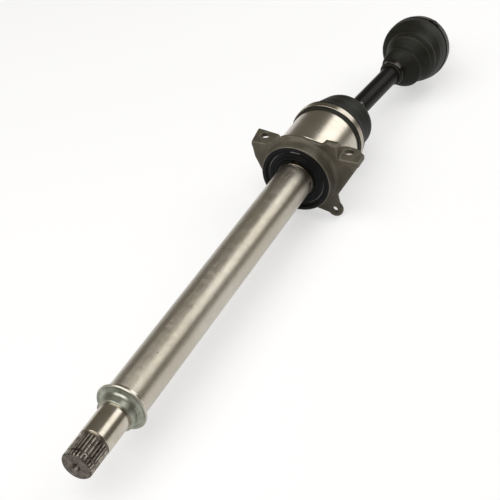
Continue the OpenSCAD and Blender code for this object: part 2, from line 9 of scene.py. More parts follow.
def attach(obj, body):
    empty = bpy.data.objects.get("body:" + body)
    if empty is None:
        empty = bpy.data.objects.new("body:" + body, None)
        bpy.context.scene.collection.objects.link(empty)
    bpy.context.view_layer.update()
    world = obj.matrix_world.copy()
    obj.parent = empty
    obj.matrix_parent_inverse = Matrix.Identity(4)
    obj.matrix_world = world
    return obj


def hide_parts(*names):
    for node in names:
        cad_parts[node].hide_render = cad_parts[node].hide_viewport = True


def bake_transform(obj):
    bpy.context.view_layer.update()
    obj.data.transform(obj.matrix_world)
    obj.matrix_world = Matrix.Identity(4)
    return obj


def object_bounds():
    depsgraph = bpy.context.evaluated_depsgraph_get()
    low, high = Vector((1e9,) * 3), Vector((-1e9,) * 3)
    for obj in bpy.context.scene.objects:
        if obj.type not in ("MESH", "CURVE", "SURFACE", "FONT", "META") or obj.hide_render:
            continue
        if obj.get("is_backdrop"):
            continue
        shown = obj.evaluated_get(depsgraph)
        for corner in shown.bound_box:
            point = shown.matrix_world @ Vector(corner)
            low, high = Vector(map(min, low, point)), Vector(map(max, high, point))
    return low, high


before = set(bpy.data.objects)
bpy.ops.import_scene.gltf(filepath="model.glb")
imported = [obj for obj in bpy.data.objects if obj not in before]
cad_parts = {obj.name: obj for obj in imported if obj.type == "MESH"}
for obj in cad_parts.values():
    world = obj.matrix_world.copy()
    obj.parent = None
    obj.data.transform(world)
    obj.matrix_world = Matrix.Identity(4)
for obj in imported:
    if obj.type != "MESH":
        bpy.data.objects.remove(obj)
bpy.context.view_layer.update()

bl_info = {
    "name": "Drive Axle Dressing",
    "version": (1, 0, 0),
    "blender": (4, 5, 0),
    "location": "3D View > Sidebar > Axle",
    "description": "Finishes a drive axle: steels, cast bracket, rubber boots and band clamps",
    "category": "Object",
}

MM = 0.001

# ---- where the joints are, in the frame: metres and degrees ----
TRIPOD_X = 0.5545
BAR_CENTRES = 0.262
BAR_BEND = 5.6
OUTER_ROLL = 25.0
OUTER_BEND = 20.0


def turned(degrees, axis):
    return Matrix.Rotation(math.radians(degrees), 4, axis)


INNER_CENTRE = Matrix.Translation((TRIPOD_X, 0.0, 0.0))
INNER_FRAME = INNER_CENTRE @ turned(-90.0, "X")
BAR_FRAME = INNER_CENTRE @ turned(-BAR_BEND, "Z")
OUTER_FRAME = BAR_FRAME @ Matrix.Translation((BAR_CENTRES, 0.0, 0.0)) @ turned(OUTER_ROLL, "X")
HUB_FRAME = OUTER_FRAME @ turned(OUTER_BEND, "Y")

# ---- places that the finishes follow: metres along the shaft or from its axis ----
TEETH_END = (0.0315, 0.0295)
TOOTH_TIP_R = (0.01515, 0.0159)
CAN_INSIDE_R = (0.0385, 0.0375)
DEFLECTOR_RIM_R = (0.0262, 0.0270)
BEARING_SEAT_R = (0.0405, 0.0395)
BEARING_SEAT_X = (0.478, 0.479)
BOSS_FACE_X, BOSS_MOUTH_R = 0.4845, 0.0445
HUB_STEM_X = (0.047, 0.0475)
# The heights over which painted shade darkens the bracket towards the bottom
PAINTED_SHADE_HEIGHT = (0.026, -0.012)

# ---- the camera: metres, unit vectors and millimetres ----
CAMERA_PLACE = (-0.59747, -0.51607, 0.82389)
CAMERA_RIGHT = (0.43245, -0.89956, -0.06148)
CAMERA_UP = (0.57299, 0.22153, 0.78906)
CAMERA_BACK = (-0.69618, -0.37646, 0.61124)
CAMERA_LENS, CAMERA_SENSOR = 90.0, 36.0

# ---- the floor, the lights and the sky, in metres ----
FLOOR_HALF, FLOOR_MIDDLE_X = 30.0, 0.45
LIGHTS_AIM = Vector((0.46, 0.0, 0.0))
KEY_PLACE, KEY_LENGTH = (1.57, -0.64, 0.96), 1.9
TOP_PLACE, TOP_SIDE = (-0.6, 0.33, 2.0), 2.5
SKY_COLOUR = (1.0, 0.92, 0.77, 1.0)


# ---- node trees ----
def plain(value):
    """A number, or a colour or vector as a tuple."""
    return tuple(value) if hasattr(value, "__len__") else value


class Wire:
    """One output socket of a tree, used like a number."""

    def __init__(self, tree, socket):
        self.tree, self.socket = tree, socket

    def math(self, operation, *others, clamp=False):
        values = {i: v for i, v in enumerate((self,) + others)}
        return self.tree.node("ShaderNodeMath", {"operation": operation, "use_clamp": clamp}, values)

    def __add__(self, other):
        return self.math("ADD", other)

    __radd__ = __add__

    def __sub__(self, other):
        return self.math("SUBTRACT", other)

    def __rsub__(self, other):
        return self.tree.number(other).math("SUBTRACT", self)

    def __mul__(self, other):
        return self.math("MULTIPLY", other)

    __rmul__ = __mul__

    def __truediv__(self, other):
        return self.math("DIVIDE", other)

    def ramp(self, low, high):
        """0 below low, 1 above high, and smooth between them. low may be the larger."""
        return self.tree.node("ShaderNodeMapRange", {"interpolation_type": "SMOOTHSTEP", "clamp": True},
                              {"Value": self, "From Min": low, "From Max": high})


class Tree:
    """A node tree under construction."""

    def __init__(self, nodes, links):
        self.nodes, self.links = nodes, links

    def node(self, kind, settings=None, inputs=None, output=0):
        """Any node: its type, its settings and its inputs by name or number. Returns one output."""
        made = self.nodes.new(kind)
        for key, value in (settings or {}).items():
            setattr(made, key, value)
        for key, value in (inputs or {}).items():
            target = made.inputs[key]
            if isinstance(value, Wire):
                self.links.new(value.socket, target)
            else:
                target.default_value = plain(value)
        return Wire(self, made.outputs[output])

    def number(self, value):
        return self.node("ShaderNodeMath", {"operation": "ADD"}, {0: value, 1: 0.0})

    def mix(self, share, a, b):
        """A colour: a where share is 0 and b where it is 1."""
        return self.node("ShaderNodeMix", {"data_type": "RGBA", "clamp_factor": True},
                         {0: share, 6: self.rgba(a), 7: self.rgba(b)}, output=2)

    @staticmethod
    def rgba(colour):
        return colour if isinstance(colour, Wire) else (tuple(colour) + (1.0,))[:4]

    def place(self, at=None):
        """Object coordinates, or those of the given frame."""
        where = self.node("ShaderNodeTexCoord", output="Object")
        if at is None:
            return where
        placed = {"Vector": where, "Location": at.to_translation(), "Rotation": at.to_euler("XYZ")}
        return self.node("ShaderNodeMapping", {"vector_type": "TEXTURE"}, placed)

    def parts(self, vector):
        split = self.nodes.new("ShaderNodeSeparateXYZ")
        self.links.new(vector.socket, split.inputs[0])
        return [Wire(self, split.outputs[i]) for i in range(3)]

    def join(self, x, y, z):
        return self.node("ShaderNodeCombineXYZ", None, {0: x, 1: y, 2: z})

    def noise(self, where, detail=3.0, rough=0.5, warp=0.0):
        given = {"Vector": where, "Scale": 1.0, "Detail": detail, "Roughness": rough, "Distortion": warp}
        return self.node("ShaderNodeTexNoise", None, given)

    def radius(self, y, z):
        return (y * y + z * z).math("SQRT")


class Finish(Tree):
    """A material that ends in one Principled shader."""

    def __init__(self, name, **fixed):
        self.material = bpy.data.materials.new(name)
        self.material.use_nodes = True
        tree = self.material.node_tree
        tree.nodes.clear()
        super().__init__(tree.nodes, tree.links)
        self.shader = tree.nodes.new("ShaderNodeBsdfPrincipled")
        out = tree.nodes.new("ShaderNodeOutputMaterial")
        tree.links.new(self.shader.outputs[0], out.inputs["Surface"])
        for key, value in fixed.items():
            self.shader.inputs[key.replace("_", " ")].default_value = plain(value)

    def drive(self, socket, wire):
        self.links.new(wire.socket, self.shader.inputs[socket])

    def bump(self, height, strength, distance):
        given = {"Strength": strength, "Distance": distance, "Height": height}
        self.drive("Normal", self.node("ShaderNodeBump", None, given))


def turned_lines(tree, along, around, pitch):
    """The fine lines that a tool or wheel leaves round a shaft, from 0 to 1."""
    fine = tree.noise(tree.join(along * (1.0 / pitch), around * 0.6, 0.0), 2.0, 0.6)
    broad = tree.noise(tree.join(along * (0.12 / pitch), around * 0.2, 3.0), 2.0, 0.5)
    return fine * 0.65 + broad * 0.35


def tube_finish(colours):
    """The long tube: turned and ground steel with a thin warm film of oil."""
    f = Finish("tube_steel", Metallic=1.0, Coat_Weight=0.12, Coat_Roughness=0.25)
    x, y, z = f.parts(f.place())
    around = z.math("ARCTAN2", y)
    lines = turned_lines(f, x, around, 0.0003)
    film = f.noise(f.join(x * 9.0, y * 18.0, z * 18.0), 4.0, 0.55)
    smudge = f.noise(f.join(x * 40.0, y * 60.0, z * 60.0), 5.0, 0.6, 0.6)
    colour = f.mix(film.ramp(0.35, 0.68), colours.steel_bright, colours.steel_warm)
    colour = f.mix(smudge.ramp(0.55, 0.8) * 0.35, colour, colours.steel_stain)
    f.drive("Base Color", f.mix(lines * 0.22, colour, colours.steel_stain))
    f.drive("Roughness", lines * 0.12 + smudge * 0.1 + 0.19)
    f.bump(lines, 1.0, 0.0004)
    return f.material


def stub_finish(colours):
    """The splined end: oxidised teeth with bright flanks, then a ground seal journal."""
    f = Finish("stub_steel", Metallic=1.0)
    x, y, z = f.parts(f.place())
    around = z.math("ARCTAN2", y)
    r = f.radius(y, z)
    lines = turned_lines(f, x, around, 0.0006)
    grime = f.noise(f.join(x * 220.0, y * 220.0, z * 220.0), 5.0, 0.65)
    film = f.noise(f.join(x * 60.0, y * 40.0, z * 40.0), 3.0, 0.5)
    teeth = x.ramp(*TEETH_END)
    crest = r.ramp(*TOOTH_TIP_R)
    oxide = f.mix(grime.ramp(0.35, 0.7), colours.oxide_dark, colours.oxide_light)
    tooth = f.mix(crest * grime.ramp(0.3, 0.62) * 0.75, oxide, colours.steel_bright)
    journal = f.mix(film.ramp(0.35, 0.7), colours.steel_bright, colours.steel_warm)
    journal = f.mix(lines * 0.25, journal, colours.steel_stain)
    f.drive("Base Color", f.mix(teeth, journal, tooth))
    f.drive("Roughness", lines * 0.1 + 0.17 + teeth * 0.2 + grime * 0.06)
    f.bump(lines * 0.6 + grime * teeth * 0.5, 0.25, 0.00015)
    return f.material


def housing_finish(colours):
    """The inner joint's can: turned steel with rings from the tool."""
    f = Finish("housing_steel", Metallic=1.0, Coat_Weight=0.1, Coat_Roughness=0.3)
    x, y, z = f.parts(f.place())
    around = z.math("ARCTAN2", y)
    r = f.radius(y, z)
    lines = turned_lines(f, x, around, 0.0012)
    rings = f.noise(f.join(x * 260.0, around * 0.15, 9.0), 1.0, 0.4)
    film = f.noise(f.join(x * 30.0, y * 18.0, z * 18.0), 4.0, 0.55)
    colour = f.mix(film.ramp(0.35, 0.7), colours.steel_bright, colours.steel_warm)
    colour = f.mix(rings.ramp(0.55, 0.75) * 0.08, colour, colours.steel_stain)
    inside = r.ramp(*CAN_INSIDE_R)
    colour = f.mix(inside, colour, colours.grease)
    f.drive("Base Color", f.mix(lines * 0.25, colour, colours.steel_stain))
    f.drive("Roughness", lines * 0.12 + 0.2 + rings * 0.05)
    f.bump(lines * 0.8 + rings * 0.2, 0.16, 0.00014)
    return f.material


def plated_sheet(name, colours):
    """Pressed sheet with a dull greenish plating."""
    f = Finish(name, Metallic=0.85)
    x, y, z = f.parts(f.place())
    around = z.math("ARCTAN2", y)
    r = f.radius(y, z)
    draw = f.noise(f.join(around * 7.0, r * 120.0, x * 120.0), 3.0, 0.5)
    bloom = f.noise(f.join(x * 90.0, y * 90.0, z * 90.0), 5.0, 0.6)
    edge = r.ramp(*DEFLECTOR_RIM_R)
    colour = f.mix(bloom.ramp(0.35, 0.7), colours.plating, colours.plating_dark)
    f.drive("Base Color", f.mix(edge * 0.8, colour, colours.steel_bright))
    f.drive("Roughness", draw * 0.12 + bloom * 0.1 + 0.26)
    f.bump(draw * 0.5 + bloom * 0.5, 0.2, 0.0002)
    return f.material


def hard_steel(name, colours, tint, smear_share=0.6, shine=0.0):
    """Hardened bearing and joint parts: bright, with a trace of grease."""
    f = Finish(name, Metallic=1.0 - shine, Specular_IOR_Level=0.2)
    x, y, z = f.parts(f.place())
    smear = f.noise(f.join(x * 140.0, y * 140.0, z * 140.0), 4.0, 0.6, 0.8)
    fine = f.noise(f.join(x * 900.0, y * 900.0, z * 900.0), 2.0, 0.5)
    f.drive("Base Color", f.mix(smear.ramp(0.45, 0.75) * smear_share, tint, colours.grease))
    f.drive("Roughness", smear * 0.2 + fine * 0.08 + 0.12 + shine * 0.3)
    f.bump(fine, 0.1, 0.0001)
    return f.material


def cast_iron(name, colours):
    """Sand-cast bracket with painted shade towards the bottom: lighter on its worn edges, bright where it is
    machined.
    """
    f = Finish(name, Metallic=0.45, Specular_IOR_Level=0.4)
    where = f.place()
    x, y, z = f.parts(where)
    r = f.radius(y, z)
    sand = f.noise(f.join(x * 700.0, y * 700.0, z * 700.0), 4.0, 0.65)
    lumps = f.noise(f.join(x * 120.0, y * 120.0, z * 120.0), 3.0, 0.5)
    patch = f.noise(f.join(x * 38.0, y * 38.0, z * 38.0), 4.0, 0.6, 0.5)
    point = f.node("ShaderNodeNewGeometry", output="Pointiness")
    edge = point.ramp(0.51, 0.56)
    colour = f.mix(patch.ramp(0.35, 0.7), colours.cast, colours.cast_light)
    colour = f.mix(sand.ramp(0.62, 0.35) * 0.35, colour, colours.cast_pits_and_shade)
    colour = f.mix(edge * 0.45, colour, colours.cast_worn)
    # Painted shade: the casting darkens towards the bottom, standing in for the shadow on the web and under
    # the ears
    colour = f.mix(z.ramp(*PAINTED_SHADE_HEIGHT) * 0.45, colour, colours.cast_pits_and_shade)
    bore = r.ramp(*BEARING_SEAT_R) * x.ramp(*BEARING_SEAT_X)
    f.drive("Base Color", f.mix(bore, colour, colours.steel_bright))
    f.drive("Roughness", 0.42 + sand * 0.16 - bore * 0.16 - edge * 0.1)
    f.bump(sand * 0.45 + lumps * 0.55 - bore * 0.2, 0.42, 0.0006)
    return f.material


def bar_paint(name, colours, at):
    """Satin black paint over steel, slightly rippled."""
    f = Finish(name, Metallic=0.0, Specular_IOR_Level=0.09)
    x, y, z = f.parts(f.place(at))
    ripple = f.noise(f.join(x * 60.0, y * 160.0, z * 160.0), 3.0, 0.5)
    dust = f.noise(f.join(x * 500.0, y * 500.0, z * 500.0), 4.0, 0.7)
    f.drive("Base Color", f.mix(dust.ramp(0.5, 0.75) * 0.5, colours.paint, colours.paint_dust))
    f.drive("Roughness", ripple * 0.1 + dust * 0.1 + 0.24)
    f.bump(ripple * 0.6 + dust * 0.4, 0.2, 0.0003)
    return f.material


def rubber(name, base, bloom, at, shine=0.0, gloss=0.15):
    """Moulded rubber: matte, with a random bloom, a painted highlight on the folds' crests, painted shade in
    their valleys and a mould's fine lines round it.
    """
    f = Finish(name, Metallic=0.0, Specular_IOR_Level=gloss)
    x, y, z = f.parts(f.place(at))
    around = z.math("ARCTAN2", y)
    soft = f.noise(f.join(x * 45.0, y * 45.0, z * 45.0), 4.0, 0.55)
    grain = f.noise(f.join(x * 1100.0, y * 1100.0, z * 1100.0), 2.0, 0.6)
    mould = f.noise(f.join(x * 900.0, around * 0.2, 0.0), 1.0, 0.5)
    bend = f.node("ShaderNodeNewGeometry", output="Pointiness")
    # Painted highlight: the folds' crests are pushed towards the bloom colour; painted shade: the valleys
    # are held at the darker base colour
    crest, painted_valley_shade = bend.ramp(0.505, 0.54), bend.ramp(0.497, 0.46)
    share = (soft.ramp(0.42, 0.75) * 0.5 + crest * 1.3) * (1.0 - painted_valley_shade)
    f.drive("Base Color", f.mix(share.math("MINIMUM", 1.0), base, bloom))
    f.drive("Roughness", soft * 0.14 + grain * 0.08 + 0.4 - shine)
    f.bump(grain * 0.5 + mould * 0.5, 0.16, 0.00025)
    return f.material


def band_steel(name, base, warm, line):
    """A boot clamp's rolled band, with fine lines and a faint change of colour."""
    f = Finish(name, Metallic=1.0)
    x, y, z = f.parts(f.place())
    brush = f.noise(f.join(x * 4000.0, y * 90.0, z * 90.0), 2.0, 0.6)
    tint = f.noise(f.join(x * 20.0, y * 35.0, z * 35.0), 2.0, 0.5)
    colour = f.mix(tint.ramp(0.35, 0.7), base, warm)
    f.drive("Base Color", f.mix(brush * 0.3, colour, line))
    f.drive("Roughness", brush * 0.14 + 0.2)
    f.bump(brush, 0.1, 0.0001)
    return f.material


def bell_steel(colours):
    """The outer joint's bell: phosphated steel, with ground seats and splines towards the wheel."""
    f = Finish("bell_steel", Metallic=0.9)
    x, y, z = f.parts(f.place(HUB_FRAME))
    around = z.math("ARCTAN2", y)
    scale = f.noise(f.join(x * 150.0, y * 150.0, z * 150.0), 5.0, 0.65)
    lines = turned_lines(f, x, around, 0.0009)
    ground = x.ramp(*HUB_STEM_X)
    dark = f.mix(scale.ramp(0.35, 0.7), colours.oxide_dark, colours.oxide_light)
    bright = f.mix(lines * 0.5, colours.steel_bright, colours.steel_warm)
    f.drive("Base Color", f.mix(ground * 0.85, dark, bright))
    f.drive("Roughness", scale * 0.14 + 0.44 - ground * 0.18)
    f.bump(scale * 0.5 + lines * 0.5, 0.2, 0.0002)
    return f.material


# ---- shapes ----
# The lengths over which a boot's sag comes and goes, in metres
SAG_RISE, SAG_FALL = 0.014, 0.016
# The gap between a boot's points, and how far a piece reaches past its cuts, in millimetres
BOOT_STEP, BOOT_REACH = 0.55, 0.28
# How far a clamp's ear sinks into its band and stays inside the band's edges, in millimetres
EAR_SINK, EAR_SIDE = 0.1, 0.6
# Half the length of an ear's loop and the radius of its eased edges in millimetres, and the loop's steps
EAR_HALF, EAR_EDGE, EAR_STEPS = 4.6, 0.2, 40
# A corner sharper than this is eased, in radians
EAR_CORNER = 1.2


def new_object(name, mesh, material=None):
    made = bpy.data.objects.new(name, mesh)
    bpy.context.scene.collection.objects.link(made)
    if material:
        mesh.materials.clear()
        mesh.materials.append(material)
    return made


def outward(mesh, sharp=35.0):
    """Merges what meets, turns every face outward and shades smooth between sharp edges."""
    work = bmesh.new()
    work.from_mesh(mesh)
    bmesh.ops.remove_doubles(work, verts=work.verts, dist=1e-7)
    bmesh.ops.recalc_face_normals(work, faces=work.faces)
    work.to_mesh(mesh)
    work.free()
    mesh.shade_smooth()
    mesh.set_sharp_from_angle(angle=math.radians(sharp))
    return mesh


def curve_through(points, steps):
    """Points on a smooth curve through the given (along, radius) points."""
    first = (2 * points[0][0] - points[1][0], 2 * points[0][1] - points[1][1])
    last = (2 * points[-1][0] - points[-2][0], 2 * points[-1][1] - points[-2][1])
    p = [first] + list(points) + [last]
    out = []
    for i in range(1, len(p) - 2):
        knots = [0.0]
        for a, b in zip(p[i - 1:i + 2], p[i:i + 3]):
            knots.append(knots[-1] + max(math.dist(a, b), 1e-9) ** 0.5)
        t0, t1, t2, t3 = knots
        for n in range(steps):
            t = t1 + (t2 - t1) * n / steps
            mixed = []
            for k in (0, 1):
                q = [p[i - 1 + j][k] for j in range(4)]
                a1 = (t1 - t) / (t1 - t0) * q[0] + (t - t0) / (t1 - t0) * q[1]
                a2 = (t2 - t) / (t2 - t1) * q[1] + (t - t1) / (t2 - t1) * q[2]
                a3 = (t3 - t) / (t3 - t2) * q[2] + (t - t2) / (t3 - t2) * q[3]
                b1 = (t2 - t) / (t2 - t0) * a1 + (t - t0) / (t2 - t0) * a2
                b2 = (t3 - t) / (t3 - t1) * a2 + (t - t1) / (t3 - t1) * a3
                mixed.append((t2 - t) / (t2 - t1) * b1 + (t - t1) / (t2 - t1) * b2)
            out.append(tuple(mixed))
    out.append(tuple(points[-1]))
    return out


def spaced(points, gap):
    """The same curve with points an equal distance apart."""
    lengths = [0.0]
    for a, b in zip(points, points[1:]):
        lengths.append(lengths[-1] + math.dist(a, b))
    count = max(2, round(lengths[-1] / gap))
    out, k = [], 0
    for n in range(count + 1):
        want = lengths[-1] * n / count
        while k < len(lengths) - 2 and lengths[k + 1] < want:
            k += 1
        span = lengths[k + 1] - lengths[k]
        t = (want - lengths[k]) / span if span else 0.0
        a, b = points[k], points[k + 1]
        out.append((a[0] + (b[0] - a[0]) * t, a[1] + (b[1] - a[1]) * t))
    return out


def inset(points, wall):
    """A line inside the curve by the wall's thickness."""
    out = []
    for i, (s, r) in enumerate(points):
        a, b = points[max(i - 1, 0)], points[min(i + 1, len(points) - 1)]
        d = math.dist(a, b) or 1.0
        out.append((s + (b[1] - a[1]) / d * wall, r - (b[0] - a[0]) / d * wall))
    return out


def revolve_rule():
    """Node group: turns a closed section, drawn along X and out along Z, round X, and bends and sags it.

    The rings' middles follow the bend between Bend From and Bend To. Their planes turn between Turn From
    and Turn To, because the planes of a soft boot's folds lag behind its bend.
    """
    group = bpy.data.node_groups.new("revolve_and_bend", "GeometryNodeTree")
    face = group.interface
    face.new_socket("Geometry", in_out="INPUT", socket_type="NodeSocketGeometry")
    for name, value in (("Section Points", 8), ("Steps Around", 96), ("Bend Angle", 0.0), ("Bend From", 0.0),
                        ("Bend To", 0.01), ("Sag", 0.0), ("Sag From", 0.0), ("Sag To", 0.1),
                        ("Turn From", 0.0), ("Turn To", 0.01)):
        kind = "NodeSocketInt" if isinstance(value, int) else "NodeSocketFloat"
        face.new_socket(name, in_out="INPUT", socket_type=kind).default_value = value
    face.new_socket("Material", in_out="INPUT", socket_type="NodeSocketMaterial")
    face.new_socket("Geometry", in_out="OUTPUT", socket_type="NodeSocketGeometry")
    t = Tree(group.nodes, group.links)
    given = group.nodes.new("NodeGroupInput")
    wires = {s.name: Wire(t, s) for s in given.outputs if s.name}
    points, around = wires["Section Points"], wires["Steps Around"]
    grid = t.node("GeometryNodeMeshGrid", None, {"Vertices X": points + 1, "Vertices Y": around + 1})
    index = t.node("GeometryNodeInputIndex")
    row = (index / (around + 1)).math("FLOOR")
    turn = index.math("MODULO", around + 1) * math.tau / around
    position = t.node("GeometryNodeInputPosition")
    corner = t.node("GeometryNodeSampleIndex", {"data_type": "FLOAT_VECTOR", "domain": "POINT"},
                    {"Geometry": wires["Geometry"], "Value": position, "Index": row.math("MODULO", points)})
    x, _, z = t.parts(corner)
    share = x.ramp(wires["Bend From"], wires["Bend To"])
    rise = x.ramp(wires["Sag From"], wires["Sag From"] + SAG_RISE)
    fall = x.ramp(wires["Sag To"], wires["Sag To"] - SAG_FALL)
    lag = x.ramp(wires["Turn From"], wires["Turn To"])
    centre = t.join(x, wires["Sag"] * rise * fall * -1.0, 0.0)
    ring = t.join(0.0, z * turn.math("SINE"), z * turn.math("COSINE"))
    bent = [t.node("ShaderNodeVectorRotate", {"rotation_type": "Y_AXIS"},
                   {"Vector": vector, "Center": (0.0, 0.0, 0.0), "Angle": part * wires["Bend Angle"]})
            for vector, part in ((centre, share), (ring, lag))]
    placed = t.node("ShaderNodeVectorMath", {"operation": "ADD"}, {0: bent[0], 1: bent[1]})
    moved = t.node("GeometryNodeSetPosition", None, {"Geometry": grid, "Position": placed})
    closed = t.node("GeometryNodeMergeByDistance", None, {"Geometry": moved, "Distance": 1e-6})
    real = t.node("GeometryNodeRealizeInstances", None, {"Geometry": closed})
    done = t.node("GeometryNodeSetMaterial", None, {"Geometry": real, "Material": wires["Material"]})
    out = group.nodes.new("NodeGroupOutput")
    group.links.new(done.socket, out.inputs[0])
    return group


def applied(group, name, mesh, material, **inputs):
    """Runs a node group on a mesh and returns the result as a plain mesh."""
    carrier = new_object(name + "_rule", mesh)
    modifier = carrier.modifiers.new("rule", "NODES")
    modifier.node_group = group
    for item in group.interface.items_tree:
        if item.in_out == "INPUT" and item.name in inputs:
            modifier[item.identifier] = inputs[item.name]
        if item.in_out == "INPUT" and item.socket_type == "NodeSocketMaterial":
            modifier[item.identifier] = material
    scene = bpy.context.evaluated_depsgraph_get()
    result = bpy.data.meshes.new_from_object(carrier.evaluated_get(scene), depsgraph=scene)
    carrier.modifiers.remove(modifier)
    bpy.data.objects.remove(carrier)
    if not result.polygons:
        raise RuntimeError(f"{name}: the rule made no faces")
    result.name = name
    return result


def turned_piece(name, section, at, material, steps=144, bend=(0.0, 0.0, 0.01, 0.0, 0.01),
                 sag=(0.0, 0.0, 100.0), sharp=35.0):
    """A closed ring made from its section in millimetres, in the given frame."""
    mesh = bpy.data.meshes.new(name + "_section")
    n = len(section)
    corners = [(s * MM, 0.0, r * MM) for s, r in section]
    mesh.from_pydata(corners, [(i, (i + 1) % n) for i in range(n)], [])
    if "revolve_and_bend" not in bpy.data.node_groups:
        revolve_rule()
    solid = applied(bpy.data.node_groups["revolve_and_bend"], name, mesh, material, **{
        "Section Points": n, "Steps Around": steps,
        "Bend Angle": math.radians(bend[0]), "Bend From": bend[1] * MM, "Bend To": bend[2] * MM,
        "Turn From": bend[3] * MM, "Turn To": bend[4] * MM,
        "Sag": sag[0] * MM, "Sag From": sag[1] * MM, "Sag To": sag[2] * MM})
    solid.transform(at)
    outward(solid, sharp)
    return new_object(name, solid, material)


def boot_sections(name, stations, wall, cuts, at, bend, sag, material, steps=160):
    """A boot's wall in one closed piece for each stretch between cuts."""
    line = spaced(curve_through(stations, 12), BOOT_STEP)
    inner = inset(line, wall)
    pieces = []
    for low, high in zip(cuts, cuts[1:]):
        keep = [i for i, p in enumerate(line) if low - BOOT_REACH <= p[0] <= high + BOOT_REACH]
        pieces.append((line[keep[0]:keep[-1] + 1], inner[keep[0]:keep[-1] + 1]))
    made = []
    for k, (outer_line, inner_line) in enumerate(pieces):
        if k:
            # A piece starts at the last ring of the piece before it
            outer_end, inner_end = (side[-1] for side in pieces[k - 1])
            outer_line = [outer_end] + [p for p in outer_line if p[0] > outer_end[0]]
            inner_line = [inner_end] + inner_line[len(inner_line) - len(outer_line) + 1:]
        section = outer_line + inner_line[::-1]
        made.append(turned_piece(f"{name}_{k + 1}", section, at, material, steps, bend, sag))
        pieces[k] = (outer_line, inner_line)
    return made


def rounded_band(low, high, inner, outer, edge=0.25):
    """The section of a flat band with eased edges."""
    return [(low, inner), (high, inner), (high, outer - edge), (high - edge, outer),
            (low + edge, outer), (low, outer - edge)]


def crimp_ear(name, at, radius, low, high, turn, material, tall=4.2, thick=1.0):
    """A clamp's pinched ear: a strip that leaves the band, stands up in a loop and comes back."""
    path = []
    for n in range(EAR_STEPS + 1):
        side = -1.0 + 2.0 * n / EAR_STEPS
        lift = tall * max(0.0, 1.0 - abs(side) ** 2.6) ** 0.5
        pinch = side * EAR_HALF * (0.72 + 0.28 * abs(side) ** 3)
        path.append((pinch, radius - thick * 0.4 + lift))
    ends = [(-EAR_HALF - 3.0, radius + 0.35), (-EAR_HALF - 1.0, radius + 0.3)]
    path = ends + path + [(-p, r) for p, r in reversed(ends)]
    work = bmesh.new()
    rows = []
    for i, (p, r) in enumerate(path):
        a, b = path[max(i - 1, 0)], path[min(i + 1, len(path) - 1)]
        d = math.dist(a, b) or 1.0
        nx, nr = -(b[1] - a[1]) / d, (b[0] - a[0]) / d
        ring = []
        for s, off in ((low, 0.0), (high, 0.0), (high, thick), (low, thick)):
            out = (r + nr * off) * MM
            angle = math.radians(turn) + (p + nx * off) / radius
            ring.append(work.verts.new((s * MM, out * math.sin(angle), out * math.cos(angle))))
        rows.append(ring)
    for a, b in zip(rows, rows[1:]):
        for i in range(4):
            work.faces.new((a[i], a[(i + 1) % 4], b[(i + 1) % 4], b[i]))
    work.faces.new(rows[0])
    work.faces.new(rows[-1])
    corners = [e for e in work.edges if len(e.link_faces) == 2 and e.calc_face_angle(0) > EAR_CORNER]
    bmesh.ops.bevel(work, geom=corners, offset=EAR_EDGE * MM, segments=2, affect="EDGES")
    mesh = bpy.data.meshes.new(name)
    work.to_mesh(mesh)
    work.free()
    mesh.transform(at)
    outward(mesh, 40.0)
    return new_object(name, mesh, material)


def join_pieces(name, pieces):
    """Several closed pieces as one object."""
    work = bmesh.new()
    material = pieces[0].data.materials[0]
    for piece in pieces:
        work.from_mesh(piece.data)
    mesh = bpy.data.meshes.new(name)
    work.to_mesh(mesh)
    work.free()
    for piece in pieces:
        bpy.data.objects.remove(piece)
    mesh.shade_smooth()
    mesh.set_sharp_from_angle(angle=math.radians(38))
    return new_object(name, mesh, material)


def softened_copy(node, name, voxel, rounds, keep, material):
    """A cast copy of a CAD node: remeshed, its corners eased, and left crisp where keep() says so."""
    work = bmesh.new()
    work.from_mesh(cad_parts[node].data)
    work.transform(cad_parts[node].matrix_world)
    bmesh.ops.remove_doubles(work, verts=work.verts, dist=2e-6)
    mesh = bpy.data.meshes.new(name + "_source")
    work.to_mesh(mesh)
    work.free()
    source = new_object(name + "_source", mesh)
    remesh = source.modifiers.new("skin", "REMESH")
    remesh.mode = "VOXEL"
    remesh.voxel_size = voxel
    remesh.adaptivity = 0.0
    scene = bpy.context.evaluated_depsgraph_get()
    skin = bpy.data.meshes.new_from_object(source.evaluated_get(scene), depsgraph=scene)
    source.modifiers.remove(remesh)
    bpy.data.objects.remove(source)
    work = bmesh.new()
    work.from_mesh(skin)
    free = [v for v in work.verts if not keep(v.co)]
    for _ in range(rounds):
        bmesh.ops.smooth_vert(work, verts=free, factor=0.5,
                              use_axis_x=True, use_axis_y=True, use_axis_z=True)
    work.to_mesh(skin)
    work.free()
    skin.name = name
    outward(skin, 60.0)
    return new_object(name, skin, material)


# ---- settings ----
class AxleBootSettings(bpy.types.PropertyGroup):
    wall: FloatProperty(name="Wall", description="Thickness of the boots' rubber wall in millimetres",
                        default=2.4, min=1.0, max=4.0)
    inner_swell: FloatProperty(name="Inner swell", description="Scale of the inner boot's middle",
                               default=1.0, min=0.9, max=1.05)
    outer_swell: FloatProperty(name="Outer swell", description="Scale of the outer boot's dome",
                               default=1.0, min=0.98, max=1.03)
    sag: FloatProperty(name="Sag", default=5.0, min=0.0, max=6.0,
                       description="How far the outer boot's folds sag to one side, in millimetres")
    steps: IntProperty(name="Steps around", description="Faces round each boot",
                       default=160, min=48, max=256)


class AxleClampSettings(bpy.types.PropertyGroup):
    ear_height: FloatProperty(name="Ear height", default=4.0, min=1.0, max=8.0,
                              description="How far a crimped ear stands off its band, in millimetres")
    strip: FloatProperty(name="Strip", description="Thickness of the ear's strip in millimetres",
                         default=0.9, min=0.4, max=2.0)


